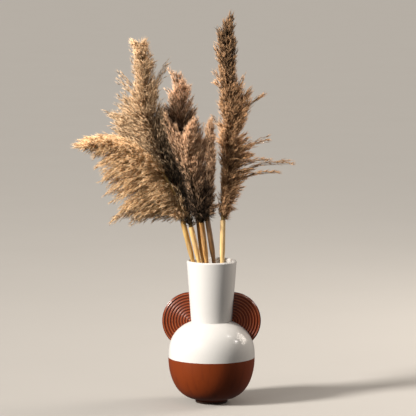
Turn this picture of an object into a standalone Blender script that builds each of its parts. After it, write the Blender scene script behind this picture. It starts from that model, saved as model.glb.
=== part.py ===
"""Dried pampas grass in a two-tone stoneware vase with ridged disc handles.

Metres, +Z up. The origin is the centre of the foot's flat underside, the front faces -Y,
and the two handles lie along X. Six canes stand inside the vase and lean on its lip.
Each cane carries one plume: a spine with tufts that reach out to where its down ends.
"""

import math

import bmesh
import bpy
from mathutils import Matrix, Vector

GAP = 0.0003  # left between pieces that touch

# Vase: foot, globe and flared neck, turned about Z
FOOT_RADIUS = 0.032
FOOT_EDGE = 0.0008
GLOBE_RADIUS = 0.086
EQUATOR_Z = 0.091
UPPER_RISE = 0.0784  # from the equator to where the upper dome would close
UPPER_POWERS = (2.54, 2.15)
LOWER_DROP = 0.0857  # from the equator to where the lower dome would close
LOWER_POWERS = (2.0, 3.4)
NECK_RADIUS = 0.0407
LIP_RADIUS = 0.0497
VASE_HEIGHT = 0.2845
GLOBE_WALL = 0.0095
NECK_WALL = 0.0074
LIP_ROUND = NECK_WALL / 2
FLOOR_Z = 0.017
VASE_STEPS = 44
DOME_STEPS = 7
LIP_STEPS = 4

# Handles: flat discs with round ridges about their centre
HANDLE_X = 0.041
HANDLE_Z = 0.1635
RIDGES = 10
RIDGE_PITCH = 0.0057
CREST_HALF = 0.0046
VALLEY_HALF = 0.0031
EDGE_HALF = 0.0020
HANDLE_STEPS = 36

# Canes: where the axis stands on the floor, passes the lip and ends under the plume
CANE_SIDES = 8
CANE_STEPS = 5
CANE_FOOT_Z = 0.0192
CANE_RADII = (0.0045, 0.0038)
LIP_Z = 0.284
CANES = [
    # foot (x, y)      lip (x, y)        top (x, y, z)
    ((0.0310, 0.0020), (-0.0375, 0.0045), (-0.0570, 0.0050, 0.362)),
    ((0.0275, -0.0145), (-0.0255, -0.0015), (-0.0405, 0.0025, 0.350)),
    ((0.0135, 0.0150), (-0.0175, 0.0225), (-0.0260, 0.0250, 0.362)),
    ((0.0240, 0.0245), (-0.0100, -0.0085), (-0.0195, -0.0180, 0.362)),
    ((0.0305, 0.0135), (0.0040, 0.0180), (-0.0090, 0.0210, 0.368)),
    ((0.0155, -0.0240), (0.0210, -0.0150), (0.0225, -0.0125, 0.366)),
]

# Plumes: the spine's points above the cane, and from low to high the tufts' reach to the
# left and to the right of the spine, and how far they lean along it for each metre of reach
PLUME_SIDES = 6
PLUME_STEPS = 10
FIRST_TUFT = 3
CORE_RADII = (0.0042, 0.0075, 0.0120, 0.0105, 0.0018)
TUFT_STEPS = ((0.4, 0.6), (1.0, 0.28))  # share of the reach, width left of the width before
TUFT_TURNS = ((0, 180, 60, 240), (0, 180, 120, 300))  # degrees round the spine from the right
PLUMES = [
    {
        "spine": [(-0.076, 0.000, 0.418), (-0.104, -0.010, 0.462), (-0.136, -0.018, 0.500),
                  (-0.176, -0.022, 0.524), (-0.230, -0.024, 0.531), (-0.281, -0.026, 0.524)],
        "left": (0.220, 0.130, 0.080, 0.012), "right": (0.010, 0.012, 0.008),
        "deep": (0.016, 0.020, 0.008), "lean": (-0.4, 0.1, 0.9),
    },
    {
        "spine": [(-0.054, 0.010, 0.390), (-0.082, 0.022, 0.460), (-0.112, 0.032, 0.530),
                  (-0.140, 0.036, 0.600), (-0.150, 0.034, 0.690), (-0.156, 0.028, 0.746)],
        "left": (0.060, 0.088, 0.042, 0.008), "right": (0.018, 0.034, 0.008),
        "deep": (0.014, 0.020, 0.008), "lean": (1.2, 1.1, 1.8),
    },
    {
        "spine": [(-0.038, 0.046, 0.430), (-0.050, 0.064, 0.520), (-0.058, 0.074, 0.590),
                  (-0.056, 0.076, 0.650)],
        "left": (0.020, 0.034, 0.012), "right": (0.020, 0.030, 0.010),
        "deep": (0.014, 0.018, 0.008), "lean": (1.2, 1.6),
    },
    {
        "spine": [(-0.030, -0.030, 0.420), (-0.038, -0.044, 0.490), (-0.036, -0.052, 0.550),
                  (-0.032, -0.054, 0.572)],
        "left": (0.020, 0.030, 0.012), "right": (0.016, 0.022, 0.008),
        "deep": (0.012, 0.014, 0.006), "lean": (2.0, 2.2),
    },
    {
        "spine": [(-0.002, 0.032, 0.430), (0.003, 0.042, 0.510), (0.006, 0.048, 0.575)],
        "left": (0.006, 0.010, 0.005), "right": (0.008, 0.012, 0.005),
        "deep": (0.006, 0.008, 0.004), "lean": (2.0, 2.2),
    },
    {
        "spine": [(0.025, -0.010, 0.420), (0.030, -0.004, 0.500), (0.035, 0.000, 0.580),
                  (0.034, 0.002, 0.665), (0.029, 0.002, 0.725), (0.039, 0.000, 0.797)],
        "left": (0.014, 0.024, 0.016, 0.004), "right": (0.172, 0.104, 0.018, 0.004),
        "deep": (0.018, 0.022, 0.005), "lean": (0.1, 0.9, 2.0),
    },
]

# Colour, roughness
WHITE_GLAZE = ((0.86, 0.84, 0.80), 0.28)
BROWN_GLAZE = ((0.22, 0.065, 0.028), 0.35)
STRAW = ((0.72, 0.50, 0.22), 0.55)
DOWN_SHADES = [
    ((0.62, 0.45, 0.26), 0.9),
    ((0.55, 0.43, 0.28), 0.9),
    ((0.36, 0.28, 0.20), 0.9),
    ((0.48, 0.34, 0.24), 0.9),
    ((0.50, 0.34, 0.27), 0.9),
    ((0.40, 0.29, 0.19), 0.9),
]


def clear_scene():
    for obj in list(bpy.data.objects):
        bpy.data.objects.remove(obj, do_unlink=True)


def make_material(name, finish):
    colour, roughness = finish
    material = bpy.data.materials.new(name)
    material.use_nodes = True
    shader = material.node_tree.nodes["Principled BSDF"]
    shader.inputs["Base Color"].default_value = (*colour, 1)
    shader.inputs["Roughness"].default_value = roughness
    shader.inputs["Metallic"].default_value = 0
    return material


def add_object(name, bm, material=None, sharp_angle=40):
    """Points every face outwards, stores the mesh and shades it smooth but for its creases."""
    bmesh.ops.recalc_face_normals(bm, faces=bm.faces)
    mesh = bpy.data.meshes.new(name)
    bm.to_mesh(mesh)
    bm.free()
    mesh.shade_smooth()
    mesh.set_sharp_from_angle(angle=math.radians(sharp_angle))
    obj = bpy.data.objects.new(name, mesh)
    bpy.context.collection.objects.link(obj)
    if material:
        mesh.materials.append(material)
    return obj


def turn(outline, axis, steps):
    """A solid turned about axis from (radius, height) points that start and end on it."""
    bm = bmesh.new()
    verts = [bm.verts.new(Vector((r, 0, 0)) + axis * h) for r, h in outline]
    edges = [bm.edges.new(pair) for pair in zip(verts, verts[1:])]
    bmesh.ops.spin(bm, geom=verts + edges, cent=(0, 0, 0), axis=axis, dvec=(0, 0, 0),
                   angle=math.tau, steps=steps, use_merge=True)
    bmesh.ops.remove_doubles(bm, verts=bm.verts, dist=0.00002)
    return bm


# ---------------------------------------------------------------- vase


def dome(radius, powers, share):
    """The radius of a dome, share of the way from its equator to where it closes."""
    p, q = powers
    return radius * (1 - share ** p) ** (1 / q)


def share_at_radius(radius, dome_radius, powers):
    """How far up a dome its radius has shrunk to the given one."""
    p, q = powers
    return (1 - (radius / dome_radius) ** q) ** (1 / p)


def dome_points(radius, height, powers, last_share):
    """(radius, distance from the equator) from the equator to last_share, evenly by angle."""
    last_angle = math.asin(last_share)
    shares = [math.sin(last_angle * i / DOME_STEPS) for i in range(DOME_STEPS + 1)]
    return [(dome(radius, powers, s), height * s) for s in shares]


def outside_outline():
    """(radius, z) up the outside, from the foot's edge to the top of the straight neck."""
    lower = dome_points(GLOBE_RADIUS, LOWER_DROP, LOWER_POWERS,
                        share_at_radius(FOOT_RADIUS, GLOBE_RADIUS, LOWER_POWERS))
    upper = dome_points(GLOBE_RADIUS, UPPER_RISE, UPPER_POWERS,
                        share_at_radius(NECK_RADIUS, GLOBE_RADIUS, UPPER_POWERS))
    foot = [(FOOT_RADIUS - FOOT_EDGE, 0), (FOOT_RADIUS, FOOT_EDGE)]
    below = [(r, EQUATOR_Z - d) for r, d in reversed(lower)]
    above = [(r, EQUATOR_Z + d) for r, d in upper[1:]]
    neck_top = [(LIP_RADIUS, VASE_HEIGHT - LIP_ROUND)]
    return foot + below + above + neck_top


def lip_outline():
    """Over the lip, from the outside to the inside of the neck."""
    middle_r, middle_z = LIP_RADIUS - LIP_ROUND, VASE_HEIGHT - LIP_ROUND
    angles = [math.pi * i / LIP_STEPS for i in range(1, LIP_STEPS + 1)]
    return [(middle_r + LIP_ROUND * math.cos(a), middle_z + LIP_ROUND * math.sin(a))
            for a in angles]


def inside_outline():
    """(radius, z) down the inside, from the bottom of the neck to the floor's centre."""
    radius = GLOBE_RADIUS - GLOBE_WALL
    neck_inside = NECK_RADIUS - NECK_WALL
    rise = UPPER_RISE - GLOBE_WALL
    drop = LOWER_DROP - GLOBE_WALL
    upper = dome_points(radius, rise, UPPER_POWERS,
                        share_at_radius(neck_inside, radius, UPPER_POWERS))
    lower = dome_points(radius, drop, LOWER_POWERS, (EQUATOR_Z - FLOOR_Z) / drop)
    above = [(r, EQUATOR_Z + d) for r, d in reversed(upper)]
    below = [(r, EQUATOR_Z - d) for r, d in lower[1:]]
    return above + below + [(0, FLOOR_Z)]


def make_vase(material):
    outline = [(0, 0)] + outside_outline() + lip_outline() + inside_outline()
    return add_object("vase", turn(outline, Vector((0, 0, 1)), VASE_STEPS), material)


def grown_outline(outline, distance):
    """The outline moved out by distance, square to each of its stretches."""
    squares = [Vector((z1 - z0, r0 - r1)).normalized()
               for (r0, z0), (r1, z1) in zip(outline, outline[1:])]
    grown = []
    for i, point in enumerate(outline):
        below, above = squares[max(i - 1, 0)], squares[min(i, len(squares) - 1)]
        grown.append(Vector(point) + (below + above) * distance / (1 + below.dot(above)))
    return grown


def make_vase_cutter():
    """The vase as a full solid, grown by the gap, that trims the handles."""
    grown = grown_outline(outside_outline(), GAP)
    outline = [(0, grown[0].y)] + grown + [(0, grown[-1].y)]
    cutter = add_object("vase_cutter", turn(outline, Vector((0, 0, 1)), VASE_STEPS))
    cutter.hide_render = True
    cutter.display_type = "WIRE"
    return cutter


# ---------------------------------------------------------------- handles


def ridged_disc():
    """A disc about Y: each ridge's crest stands between two valleys, on both faces."""
    face = [(0, VALLEY_HALF)]
    for ridge in range(RIDGES):
        face.append(((ridge + 0.5) * RIDGE_PITCH, CREST_HALF))
        last = ridge == RIDGES - 1
        face.append(((ridge + 1) * RIDGE_PITCH, EDGE_HALF if last else VALLEY_HALF))
    back = [(r, -h) for r, h in reversed(face)]
    return turn(face + back, Vector((0, 1, 0)), HANDLE_STEPS)


def make_handle(name, side, cutter, material):
    handle = add_object(name, ridged_disc(), material, sharp_angle=60)
    handle.location = (side * HANDLE_X, 0, HANDLE_Z)
    cut = handle.modifiers.new("trim_to_vase", "BOOLEAN")
    cut.operation = "DIFFERENCE"
    cut.object = cutter
    return handle


# ---------------------------------------------------------------- canes and plumes


def smooth_path(points, steps):
    """Evenly counted points on a smooth curve through the given ones."""
    points = [Vector(p) for p in points]
    ends = [points[0] * 2 - points[1]] + points + [points[-1] * 2 - points[-2]]
    spans = len(points) - 1
    path = []
    for step in range(steps + 1):
        place = step * spans / steps
        span = min(int(place), spans - 1)
        t = place - span
        a, b, c, d = ends[span:span + 4]
        path.append((b * 2 + (c - a) * t + (a * 2 - b * 5 + c * 4 - d) * t ** 2
                     + (b * 3 - a - c * 3 + d) * t ** 3) * 0.5)
    return path


def between(values, share):
    """Reads a short list of values as a smooth run from its first to its last."""
    place = share * (len(values) - 1)
    low = min(int(place), len(values) - 2)
    return values[low] + (values[low + 1] - values[low]) * (place - low)


def headings_of(path):
    """The direction of the path at each of its points."""
    last = len(path) - 1
    return [(path[min(i + 1, last)] - path[max(i - 1, 0)]).normalized()
            for i in range(len(path))]


def ring_turn(heading):
    """A rotation whose Z runs along heading, with Y as near to the back as that lets it."""
    back = (Vector((0, 1, 0)) - heading * heading.y).normalized()
    return Matrix((back.cross(heading), back, heading)).transposed()


def sweep(path, headings, radii, sides):
    """A round rod along path, closed at both ends, and the side faces of each stretch."""
    bm = bmesh.new()
    frames = [Matrix.Translation(p) @ ring_turn(h).to_4x4() @ Matrix.Scale(r, 4)
              for p, h, r in zip(path, headings, radii)]
    bmesh.ops.create_circle(bm, segments=sides, radius=1, matrix=frames[0])
    edges = list(bm.edges)
    stretches = []
    for before, after in zip(frames, frames[1:]):
        grown = bmesh.ops.extrude_edge_only(bm, edges=edges)["geom"]
        verts = [g for g in grown if isinstance(g, bmesh.types.BMVert)]
        edges = [g for g in grown if isinstance(g, bmesh.types.BMEdge)
                 and all(v in verts for v in g.verts)]
        stretches.append([g for g in grown if isinstance(g, bmesh.types.BMFace)])
        bmesh.ops.transform(bm, matrix=after @ before.inverted(), verts=verts)
    bmesh.ops.holes_fill(bm, edges=bm.edges, sides=0)
    bmesh.ops.recalc_face_normals(bm, faces=bm.faces)
    return bm, stretches


def cane_path(foot, lip, top):
    """A gentle bow through the foot, the lip and the top, evenly spaced in height."""
    path = []
    for step in range(CANE_STEPS + 1):
        z = foot.z + (top.z - foot.z) * step / CANE_STEPS
        at_foot = (z - lip.z) * (z - top.z) / ((foot.z - lip.z) * (foot.z - top.z))
        at_lip = (z - foot.z) * (z - top.z) / ((lip.z - foot.z) * (lip.z - top.z))
        path.append(foot * at_foot + lip * at_lip + top * (1 - at_foot - at_lip))
    return path


def make_cane(number, foot, lip, top, material):
    """Builds one cane, and returns where it ends and the way it points there."""
    path = cane_path(Vector((*foot, CANE_FOOT_Z)), Vector((*lip, LIP_Z)), Vector(top))
    headings = headings_of(path)
    radii = [between(CANE_RADII, i / CANE_STEPS) for i in range(CANE_STEPS + 1)]
    bm, _ = sweep(path, headings, radii, CANE_SIDES)
    add_object(f"stem_{number}", bm, material)
    return path[-1], headings[-1]


def tuft_reach(plume, share, turn):
    """From a tuft's root to its tip, in the ring's own directions."""
    across = between(plume["right" if math.cos(turn) > 0 else "left"], share) * math.cos(turn)
    deep = between(plume["deep"], share) * math.sin(turn)
    return Vector((across, deep, between(plume["lean"], share) * math.hypot(across, deep)))


def pull_tuft(bm, face, tip):
    """Draws one side face out into a tapering tuft that ends at tip."""
    root = face.calc_center_median()
    for share, width in TUFT_STEPS:
        face = bmesh.ops.extrude_discrete_faces(bm, faces=[face])["faces"][0]
        centre = face.calc_center_median()
        bmesh.ops.scale(bm, vec=(width,) * 3, space=Matrix.Translation(-centre), verts=face.verts)
        bmesh.ops.translate(bm, vec=root.lerp(tip, share) - centre, verts=face.verts)


def tufts_of(plume, stretch, heading, share, turns):
    """The side face that each tuft of one stretch leaves, and where that tuft ends."""
    turned = ring_turn(heading)
    tufts = []
    for turn in (math.radians(degrees) for degrees in turns):
        out = turned @ Vector((math.cos(turn), math.sin(turn), 0))
        face = max(stretch, key=lambda side: side.normal.dot(out))
        reach = turned @ tuft_reach(plume, share, turn)
        tufts.append((face, face.calc_center_median() + reach))
    return tufts


def make_plume(number, plume, cane_end, cane_heading, material):
    """A core along the spine, with a tuft to each side and one to front and back in turn."""
    path = smooth_path([cane_end + cane_heading * GAP] + plume["spine"], PLUME_STEPS)
    headings = [cane_heading] + headings_of(path)[1:]
    radii = [between(CORE_RADII, i / PLUME_STEPS) for i in range(PLUME_STEPS + 1)]
    bm, stretches = sweep(path, headings, radii, PLUME_SIDES)
    for i in range(FIRST_TUFT, PLUME_STEPS):
        heading = (path[i + 1] - path[i]).normalized()
        turns = TUFT_TURNS[i % 2]
        for face, tip in tufts_of(plume, stretches[i], heading, i / PLUME_STEPS, turns):
            pull_tuft(bm, face, tip)
    add_object(f"plume_{number}", bm, material)


def main():
    clear_scene()
    white = make_material("white_glaze", WHITE_GLAZE)
    brown = make_material("brown_glaze", BROWN_GLAZE)
    straw = make_material("straw", STRAW)
    make_vase(white)
    cutter = make_vase_cutter()
    make_handle("handle_left", -1, cutter, brown)
    make_handle("handle_right", 1, cutter, brown)
    for number, (cane, plume, shade) in enumerate(zip(CANES, PLUMES, DOWN_SHADES), 1):
        end, heading = make_cane(number, *cane, straw)
        make_plume(number, plume, end, heading, make_material(f"down_{number}", shade))


main()
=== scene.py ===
"""Dried pampas grass in a two-tone stoneware vase: the finish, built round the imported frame.

Metres, +Z up. The front faces -Y and the vase stands on the origin. The vase, its handles and
the canes are turned, cut and drawn finer than the frame's own. The down of each plume is one
mesh of fine hairs, laid out in arrays along thin strands that leave the plume's spine.
"""

import math

import bmesh
import bpy
import numpy as np
from mathutils import Matrix, Vector


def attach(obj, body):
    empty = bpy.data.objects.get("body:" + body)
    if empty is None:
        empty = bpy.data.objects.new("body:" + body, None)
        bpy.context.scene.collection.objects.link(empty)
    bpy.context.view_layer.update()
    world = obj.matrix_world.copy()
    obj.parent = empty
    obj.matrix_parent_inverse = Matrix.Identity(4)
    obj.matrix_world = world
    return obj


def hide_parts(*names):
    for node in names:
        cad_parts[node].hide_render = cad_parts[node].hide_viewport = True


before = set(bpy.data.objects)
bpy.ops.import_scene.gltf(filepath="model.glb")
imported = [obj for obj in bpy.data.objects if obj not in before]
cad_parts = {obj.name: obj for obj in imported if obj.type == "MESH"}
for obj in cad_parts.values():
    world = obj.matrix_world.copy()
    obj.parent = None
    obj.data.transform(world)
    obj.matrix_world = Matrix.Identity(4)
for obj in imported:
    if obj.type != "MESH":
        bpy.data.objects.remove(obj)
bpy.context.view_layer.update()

# Vase: foot, globe and flared neck, turned about Z
FOOT_RADIUS = 0.032
FOOT_EDGE = 0.0008
GLOBE_RADIUS = 0.086
EQUATOR_Z = 0.091
UPPER_RISE = 0.0784  # from the equator to where the upper dome would close
UPPER_POWERS = (2.54, 2.15)
LOWER_DROP = 0.0857  # from the equator to where the lower dome would close
LOWER_POWERS = (2.0, 3.4)
NECK_RADIUS = 0.0407
LIP_RADIUS = 0.0497
VASE_HEIGHT = 0.2845
GLOBE_WALL = 0.0095
NECK_WALL = 0.0074
LIP_ROUND = NECK_WALL / 2
FLOOR_Z = 0.017
VASE_STEPS = 144
DOME_STEPS = 30
LIP_STEPS = 10
MERGE = 0.00001  # corners of a turned piece that are nearer than this are one

# Glazes: each pair is a glaze's darker and lighter clouds
WHITE = ((0.62, 0.605, 0.585), (0.66, 0.648, 0.630))
WHITE_SPECK = (0.55, 0.48, 0.40)
SPECK_SHARE = 0.35
BROWN = ((0.155, 0.026, 0.004), (0.208, 0.037, 0.007))
BROWN_STREAK = (0.09, 0.014, 0.004)
STREAK_SHARE = 0.5
# The foot ring: bare clay, painted near-black as the shade under the globe
BARE_FOOT_AND_SHADE = (0.035, 0.020, 0.014)
FOOT_SHADE_FADE = (0.002, 0.007)  # heights between which the foot's bare clay, painted near-black as the shade under the globe, gives way to the glaze
GLAZE_WAVER = 0.0006  # how far the line between the two glazes wanders
GLAZE_BLUR = 0.0002
GLAZE_ROUGHNESS = (0.14, 0.40)  # white and brown
GLAZE_BUMP = 0.00012
HANDLE_BROWN = ((0.135, 0.018, 0.003), (0.195, 0.029, 0.006))
# Grooves darker: partly the glaze's own colour, partly painted shade
GROOVE_POOL_AND_SHADE = (0.035, 0.007, 0.003)
GROOVE_POOL_AND_SHADE_SHARE = 0.5
# Crests paler: partly where the glaze breaks thin, partly a painted highlight
CREST_BREAK_AND_HIGHLIGHT = (0.75, 0.28, 0.12)
CREST_BREAK_AND_HIGHLIGHT_SHARE = 0.42
HANDLE_ROUGHNESS = 0.26
HANDLE_BUMP = 0.0001
NOISE_ROUGHNESS = 0.55

# Handles: flat discs with round ridges about their centre, luted into the wall
HANDLE_X = 0.041
HANDLE_Z = 0.1635
RIDGES = 10
RIDGE_PITCH = 0.0057
CREST_HALF = 0.0046
VALLEY_HALF = 0.0031
EDGE_HALF = 0.0020
RIDGE_POINTS = 6
HANDLE_STEPS = 144
LUTED = 0.003  # how deep a handle runs into the vase's wall

# Canes: where the axis starts just above the floor, passes the lip and ends under the plume
CANE_SIDES = 16
CANE_STEPS = 56
CANE_FOOT_Z = 0.0192
CANE_RADII = (0.0045, 0.0038)
SHEATH_FROM = 0.286  # just above the lip
SHEATH_RUN = 0.016
SHEATH_THICK = 0.0014
LIP_Z = 0.284
CANES = [
    # foot (x, y)      lip (x, y)        top (x, y, z)
    ((0.0310, 0.0020), (-0.0375, 0.0045), (-0.0570, 0.0050, 0.362)),
    ((0.0275, -0.0145), (-0.0255, -0.0015), (-0.0405, 0.0025, 0.350)),
    ((0.0135, 0.0150), (-0.0175, 0.0225), (-0.0260, 0.0250, 0.362)),
    ((0.0240, 0.0245), (-0.0100, -0.0085), (-0.0195, -0.0180, 0.362)),
    ((0.0305, 0.0135), (0.0040, 0.0180), (-0.0090, 0.0210, 0.368)),
    ((0.0155, -0.0240), (0.0210, -0.0150), (0.0225, -0.0125, 0.366)),
]
STRAWS_AND_SHADE = [  # dark and light straw of each cane
    ((0.36, 0.18, 0.042), (0.64, 0.42, 0.145)),
    ((0.47, 0.24, 0.060), (0.82, 0.55, 0.22)),
    ((0.34, 0.17, 0.042), (0.62, 0.38, 0.14)),
    ((0.28, 0.12, 0.030), (0.58, 0.33, 0.11)),
    # The fifth cane's straw is painted shade, darkened as if in the other canes' shadow
    ((0.11, 0.055, 0.018), (0.27, 0.14, 0.05)),
    ((0.56, 0.33, 0.105), (0.82, 0.58, 0.27)),
]
STRAW_DUST = (0.30, 0.30, 0.30)
DUST_SHARE = 0.35
STRAW_BUMP = 0.0003
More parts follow.
